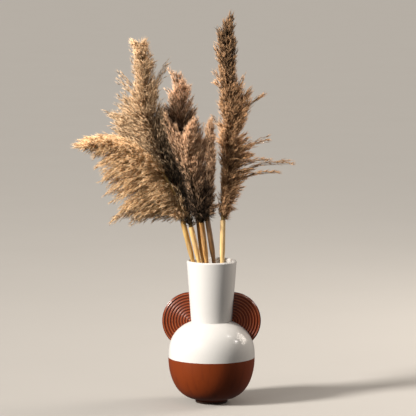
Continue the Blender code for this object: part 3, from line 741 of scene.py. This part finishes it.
def draw_cane(path):
    """A cane drawn along path, and thicker above the lip, where a dry leaf sheath wraps it."""
    sheath = np.clip((path[:, 2] - SHEATH_FROM) / SHEATH_RUN, 0, 1) * SHEATH_THICK
    radii = np.linspace(*CANE_RADII, len(path)) + sheath
    turns = ring_turns(headings_of(path))
    frames = [Matrix.Translation(p) @ Matrix(t.T.tolist()).to_4x4() @ Matrix.Scale(r, 4)
              for p, t, r in zip(path, turns, radii)]
    bm = bmesh.new()
    bmesh.ops.create_circle(bm, segments=CANE_SIDES, radius=1, matrix=frames[0])
    edges = list(bm.edges)
    for before, after in zip(frames, frames[1:]):
        grown = bmesh.ops.extrude_edge_only(bm, edges=edges)["geom"]
        verts = [g for g in grown if isinstance(g, bmesh.types.BMVert)]
        edges = [g for g in grown if isinstance(g, bmesh.types.BMEdge)
                 and all(v in verts for v in g.verts)]
        bmesh.ops.transform(bm, matrix=after @ before.inverted(), verts=verts)
    bmesh.ops.holes_fill(bm, edges=bm.edges, sides=0)
    return bm


def make_canes():
    """Makes the canes and gives back the path of each."""
    paths = []
    for number, ((foot, lip, top), straws_and_shade) in enumerate(zip(CANES, STRAWS_AND_SHADE), 1):
        path = cane_path((*foot, CANE_FOOT_Z), (*lip, LIP_Z), top)
        cane = add_piece(f"cane_{number}", draw_cane(path), straw_finish(number, straws_and_shade))
        stand_for(cane, f"stem_{number}", "straw")
        paths.append(path)
    return paths


# ---------------------------------------------------------------- down: shapes


def unit(vectors):
    shortest = 1e-9
    return vectors / np.maximum(np.linalg.norm(vectors, axis=-1, keepdims=True), shortest)


def along(values, share):
    """Values that are evenly spaced from 0 to 1, read at share."""
    return np.interp(share, np.linspace(0, 1, len(values)), values)


def between(ends, share):
    """The value a share of the way from the first end to the second."""
    return ends[0] + (ends[1] - ends[0]) * share


def smooth_path(points, steps):
    """Evenly counted points on a smooth curve through the given ones."""
    points = np.array(points, float)
    ends = np.vstack([2 * points[0] - points[1], points, 2 * points[-1] - points[-2]])
    place = np.linspace(0, len(points) - 1, steps + 1)
    span = np.minimum(place.astype(int), len(points) - 2)
    t = (place - span)[:, None]
    a, b, c, d = (ends[span + k] for k in range(4))
    return 0.5 * (2 * b + (c - a) * t + (2 * a - 5 * b + 4 * c - d) * t ** 2
                  + (3 * b - a - 3 * c + d) * t ** 3)


def bow_points(roots, bends, tips, t):
    """Where t of the way along each bow from root to tip is."""
    return roots * (1 - t) ** 2 + bends * 2 * t * (1 - t) + tips * t ** 2


def bow_headings(roots, bends, tips, t):
    return unit((bends - roots) * (1 - t) + (tips - bends) * t)


def turned_aside(headings, degrees, rng):
    """Each heading turned by its own angle to a side taken at random."""
    aside = unit(np.cross(headings, rng.normal(size=headings.shape)))
    angle = np.radians(degrees)[:, None]
    return headings * np.cos(angle) + aside * np.sin(angle)


class Fibres:
    """Collects small shapes, each with a tone and a run from root to tip."""

    def __init__(self):
        self.points, self.faces, self.places, self.count = [], [], [], 0

    def add(self, points, faces, places):
        """points and places are (shape, corner, xyz or uv); faces index one shape's corners."""
        shapes, corners = points.shape[:2]
        starts = self.count + np.arange(shapes)[:, None, None] * corners
        self.points.append(points.reshape(-1, 3))
        self.places.append(places.reshape(-1, 2))
        self.faces.append((starts + np.array(faces)[None]).reshape(-1, 3))
        self.count += shapes * corners

    def needles(self, roots, headings, lengths, radii, tones, run, rng):
        """Three-sided hairs, from a small foot to a point."""
        side = unit(np.cross(headings, rng.normal(size=headings.shape)))
        other = np.cross(headings, side)
        turns = np.radians([0, 120, 240])
        ring = side[:, None] * np.cos(turns)[:, None] + other[:, None] * np.sin(turns)[:, None]
        points = np.concatenate([roots[:, None] + ring * radii[:, None, None],
                                 (roots + headings * lengths[:, None])[:, None]], axis=1)
        across = np.array([-1, 0, 1, 0]) * TONE_WIDTH
        runs = np.array([run[0], run[0], run[0] + FOOT_RUN, run[1]])
        self.add(points, [(0, 2, 1), (3, 0, 1), (3, 1, 2), (3, 2, 0)],
                 self.places_of(tones, across, runs))

    def rods(self, paths, radii, sides, tones, run):
        """Round rods along paths of (rod, step, xyz), closed at both ends."""
        rods, steps = paths.shape[:2]
        headings = unit(np.gradient(paths, axis=1)).reshape(-1, 3)
        turned = ring_turns(headings).reshape(rods, steps, 3, 3)
        turns = np.arange(sides) * math.tau / sides
        ring = (turned[:, :, None, 0] * np.cos(turns)[:, None]
                + turned[:, :, None, 1] * np.sin(turns)[:, None])
        points = paths[:, :, None] + ring * radii[:, None, None]
        across = np.tile(np.cos(turns) * TONE_WIDTH, steps)
        runs = between(run, np.repeat(np.linspace(0, 1, steps), sides))
        self.add(points.reshape(rods, steps * sides, 3), self.rod_faces(steps, sides),
                 self.places_of(tones, across, runs))

    @staticmethod
    def rod_faces(steps, sides):
        faces = []
        for step in range(steps - 1):
            for k in range(sides):
                low, high = step * sides + k, step * sides + (k + 1) % sides
                faces += [(low, high, high + sides), (low, high + sides, low + sides)]
        last = (steps - 1) * sides
        faces += [(0, k + 1, k) for k in range(1, sides - 1)]
        faces += [(last, last + k, last + k + 1) for k in range(1, sides - 1)]
        return faces

    @staticmethod
    def places_of(tones, across, runs):
        """Each corner's place on the map: its fibre's tone, a little across, and its run."""
        u = np.clip(tones, *TONE_RANGE)[:, None] + across[None]
        return np.stack([u, np.broadcast_to(runs, u.shape)], axis=-1)

    def face_count(self):
        return sum(len(faces) for faces in self.faces)

    def mesh(self, name):
        """Everything collected, as one mesh with its tone map."""
        points, faces = np.concatenate(self.points), np.concatenate(self.faces)
        places = np.concatenate(self.places)[faces.ravel()]
        mesh = bpy.data.meshes.new(name)
        mesh.vertices.add(len(points))
        mesh.vertices.foreach_set("co", points.astype(np.float32).ravel())
        mesh.loops.add(faces.size)
        mesh.loops.foreach_set("vertex_index", faces.astype(np.int32).ravel())
        mesh.polygons.add(len(faces))
        mesh.polygons.foreach_set("loop_start", np.arange(0, faces.size, 3, dtype=np.int32))
        mesh.update(calc_edges=True)
        tone_map = mesh.uv_layers.new(name="OFBake")
        tone_map.uv.foreach_set("vector", places.astype(np.float32).ravel())
        mesh.shade_smooth()
        return mesh


class Spine:
    """A plume's spine, read at any share of its way up."""

    def __init__(self, points):
        self.path = smooth_path(points, SPINE_STEPS)
        self.headings = headings_of(self.path)

    def at(self, share):
        place = share * SPINE_STEPS
        steps = np.arange(SPINE_STEPS + 1)
        return np.stack([np.interp(place, steps, self.path[:, k]) for k in range(3)], axis=1)

    def heading(self, share):
        return self.headings[np.clip(np.rint(share * SPINE_STEPS).astype(int), 0, SPINE_STEPS)]


# ---------------------------------------------------------------- down: plumes


def layer_of(side, lean, depth, spine, rng):
    """Where one layer's tufts leave the spine and end. A lean of 0 is the outermost layer."""
    order = np.arange(len(side))
    slip = rng.uniform(*TUFT_SHIFT, len(side)) if lean else 0
    share, x, z = (np.interp(order + slip, order, side[:, k]) for k in range(3))
    share = share * LEAVE_LOW
    root = spine.at(share)
    reach = math.sqrt(1 - lean ** 2) * (rng.uniform(*INNER_REACH, len(side)) if lean else 1)
    tip = root + (np.stack([x, root[:, 1], z], axis=1) - root) * np.reshape(reach, (-1, 1))
    tip += spine.heading(share) * (TUFT_RISE * abs(lean) * (1 - share))[:, None]
    tip[:, 1] += lean * along(depth, share)
    length = np.linalg.norm(tip - root, axis=1, keepdims=True)
    return share, root + (tip - root) * (1 - PULL_IN / np.maximum(length, SHORTEST_TUFT))


def tufts_of(plume, spine, rng):
    """Where every tuft leaves the spine, where it ends, and the painted shade of its side."""
    tufts = []
    for side, shade in zip((plume["left"], plume["right"]), plume["shades"]):
        for lean in LEANS:
            share, tips = layer_of(np.array(side), lean, plume["depth"], spine, rng)
            tufts.append((share, tips, shade * (1 - share)))
    return (np.concatenate(values) for values in zip(*tufts))


def tuft_strands(plume, spine, rng):
    """Strands that run to each tuft's tip, or stop short of it and stand further apart."""
    tuft_share, tuft_tips, tuft_painted_shade = tufts_of(plume, spine, rng)
    tuft_length = np.linalg.norm(tuft_tips - spine.at(tuft_share), axis=1)
    counts = FEWEST_STRANDS + (tuft_length / STRAND_SPACE).astype(int)
    which = np.repeat(np.arange(len(counts)), counts)
    # The tones and the side's shade carry painted light and shade as well as the down's own
    # colour
    tuft_tone = along(plume["tones"], tuft_share) + tuft_painted_shade
    tuft_tone = tuft_tone + rng.normal(0, TUFT_VARIETY, len(counts))
    tone = tuft_tone[which] + rng.normal(0, STRAND_VARIETY, len(which))
    share = tuft_share[which] + rng.normal(0, ROOT_SPREAD, len(which))
    share = np.clip(share, *ROOT_SHARES)
    roots = spine.at(share)
    reach = rng.uniform(*OTHER_REACHES, len(which)) ** REACH_POWER
    first = np.append(0, np.cumsum(counts)[:-1])
    for strand, tip_reach in enumerate(TIP_REACHES):
        reach[first + strand] = tip_reach
    apart = plume["girth"] * (TIP_GIRTH + (1 - TIP_GIRTH) * (1 - reach) ** GIRTH_POWER)
    spread = unit(rng.normal(size=roots.shape)) * apart[:, None]
    narrow = np.minimum(tuft_length / FULL_TUFT, 1)[which, None]
    tips = roots + (tuft_tips[which] - roots) * reach[:, None] + spread * narrow
    return share, tips, spread, tone, np.ones(len(share))


def sleeve_strands(plume, spine, rng):
    """Strands that hug the foot of the spine."""
    share = rng.uniform(0, SLEEVE_RUN, SLEEVE) * np.tile(SLEEVE_FEET, SLEEVE // 2)
    out = unit(rng.normal(size=(SLEEVE, 3)) * SLEEVE_FLATTEN)
    out = out * rng.uniform(*SLEEVE_OUT, (SLEEVE, 1))
    rise = rng.uniform(*SLEEVE_RISE, SLEEVE) * np.tile(SLEEVE_RISES, SLEEVE // 2)
    tips = spine.at(share + rise) + out
    # The sleeve takes the tones, painted shade included, of the spine's foot
    return share, tips, out, along(plume["tones"], share), np.ones(SLEEVE)


def wisp_strands(plume, spine, rng):
    """A few full strands for each wisp, which end close together."""
    wisps = np.repeat(np.reshape(plume["wisps"], (-1, 4)), WISP_STRANDS, axis=0)
    share = wisps[:, 0]
    ends = wisps[:, 1:] + rng.normal(0, WISP_SPREAD, (len(wisps), 3))
    tips = ends - unit(ends - spine.at(share)) * WISP_PULL_IN
    tone = np.full(len(wisps), WISP_TONE)
    return share, tips, np.zeros(tips.shape), tone, np.full(len(wisps), WISP_FULLNESS)


def strands_of(plume, spine, rng):
    """Root, bend, tip, tone and fullness of every strand."""
    kinds = [make(plume, spine, rng) for make in (tuft_strands, sleeve_strands, wisp_strands)]
    share, tips, spread, tone, fullness = (np.concatenate(values) for values in zip(*kinds))
    roots = spine.at(share)
    size = np.linalg.norm(tips - roots, axis=1, keepdims=True)
    bends = (roots + (tips - roots) * 0.5 + spine.heading(share) * size * plume["lift"]
             + spread * BEND_SPREAD)
    return roots, bends, tips, tone, fullness


def add_hairs(fibres, strands, bush, triangles, rng):
    """Hairs along each strand, all round it, in small bunches that lean away from its run."""
    roots, bends, tips, tone, fullness = strands
    length = (np.linalg.norm(tips - roots, axis=1) + HAIR_ALLOWANCE) * fullness
    bunches = length / length.sum() * triangles / (HAIR_TRIANGLES * BUNCH)
    counts = np.maximum(bunches.astype(int), FEWEST_BUNCHES)
    which = np.repeat(np.arange(len(counts)), counts)
    t = 1 - rng.uniform(0, 1, len(which)) ** TIP_CROWDING * HAIRY_SHARE
    bow = [points[which] for points in (roots, bends, tips)]
    place = bow_points(*bow, t[:, None])
    heading = bow_headings(*bow, t[:, None])
    out = unit(np.cross(heading, rng.normal(size=heading.shape)))
    off = bush * fullness[which] * between(BUSH_ENDS, t) * rng.uniform(0, 1, len(which))
    place = place + out * off[:, None]
    heading = unit(heading + out * rng.uniform(*HAIR_LEAN, (len(which), 1)))
    size = HAIR_LENGTH * between(LENGTH_ENDS, t) * rng.uniform(*HAIR_SIZES, len(which))
    own_tone = tone[which] + between(HAIR_TONE_ENDS, t)
    own_tone = own_tone + rng.normal(0, HAIR_VARIETY, len(which))
    place, heading, size, own_tone = (np.repeat(values, BUNCH, axis=0)
                                      for values in (place, heading, size, own_tone))
    place = place + heading * (size * rng.uniform(*BUNCH_SLIDE, len(size)))[:, None]
    heading = turned_aside(heading, np.abs(rng.normal(0, BUNCH_DEGREES, len(size))), rng)
    radii = HAIR_RADIUS * rng.uniform(*HAIR_SIZES, len(size))
    fibres.needles(place, heading, size, radii, own_tone, HAIR_RUN, rng)


def add_spine(fibres, spine, foot_tone_and_shade):
    """The stalk that a plume's strands leave from."""
    radii = along(SPINE_RADII, np.linspace(0, 1, SPINE_STEPS + 1))
    # Darker with the painted shade that the down has at the plume's foot
    tone = np.array([SPINE_TONE * (1 + foot_tone_and_shade)])
    fibres.rods(spine.path[None], radii, SPINE_SIDES, tone, SPINE_RUN)


def add_stalks(fibres, strands):
    """The thin stalk of each strand."""
    roots, bends, tips, tone, _ = strands
    t = np.linspace(0, 1, STRAND_STEPS)
    paths = bow_points(roots[:, None], bends[:, None], tips[:, None], t[:, None])
    fibres.rods(paths, along(STRAND_RADII, t), STRAND_SIDES, STRAND_TONE + tone, STRAND_RUN)


def make_plume(number, plume, cane_path_points):
    """One plume's down: its spine from the cane's top on, its strands and all their hairs."""
    rng = np.random.default_rng(number)
    foot = cane_path_points[-1] + headings_of(cane_path_points)[-1] * SPINE_GAP
    spine = Spine([foot] + plume["spine"])
    strands = strands_of(plume, spine, rng)
    fibres = Fibres()
    add_spine(fibres, spine, plume["tones"][0])
    add_stalks(fibres, strands)
    left_over = plume["triangles"] - fibres.face_count()
    add_hairs(fibres, strands, plume["bush"], left_over, rng)
    name = f"down_{number}"
    piece = add_mesh(name, fibres.mesh(name), down_finish(plume["name"]))
    stand_for(piece, f"plume_{number}", "down_" + plume["name"])


# ---------------------------------------------------------------- studio


def aim(thing, place, target):
    thing.location = place
    thing.rotation_euler = (Vector(target) - Vector(place)).to_track_quat("-Z", "Y").to_euler()
    bpy.context.collection.objects.link(thing)


def make_camera():
    data = bpy.data.cameras.new("camera")
    data.lens = LENS
    data.sensor_width = SENSOR
    data.clip_end = FAR_CLIP
    camera = bpy.data.objects.new("camera", data)
    aim(camera, CAMERA_PLACE, CAMERA_TARGET)
    bpy.context.scene.camera = camera


def make_floor():
    """A floor that doesn't tint the pot or show in its glaze."""
    bm = bmesh.new()
    bmesh.ops.create_grid(bm, x_segments=1, y_segments=1, size=FLOOR_SIZE)
    floor = add_mesh("floor", mesh_of("floor", bm), floor_finish())
    floor.visible_diffuse = False
    floor.visible_glossy = False


def add_light(name, place, target, size, power, colour, only_glint):
    data = bpy.data.lights.new(name, "AREA")
    data.size = size
    data.energy = power
    data.color = colour
    light = bpy.data.objects.new(name, data)
    light.visible_diffuse = not only_glint
    aim(light, place, target)


def add_sun(name, place, width_degrees, strength, colour):
    data = bpy.data.lights.new(name, "SUN")
    data.angle = math.radians(width_degrees)
    data.energy = strength
    data.color = colour
    aim(bpy.data.objects.new(name, data), place, (0, 0, 0))


def light_room():
    """The soft light that comes from all round."""
    world = bpy.data.worlds.new("studio")
    world.use_nodes = True
    background = world.node_tree.nodes["Background"]
    background.inputs["Color"].default_value = ROOM_COLOUR
    background.inputs["Strength"].default_value = ROOM_STRENGTH
    bpy.context.scene.world = world
    bpy.context.scene.view_settings.view_transform = "Standard"


make_camera()
make_floor()
add_sun("key", **KEY_SUN)
for light in LIGHTS:
    add_light(*light)
light_room()
make_vase()
make_handles()
cane_paths = make_canes()
for plume_number, (plume_shape, path_below) in enumerate(zip(PLUMES, cane_paths), 1):
    make_plume(plume_number, plume_shape, path_below)
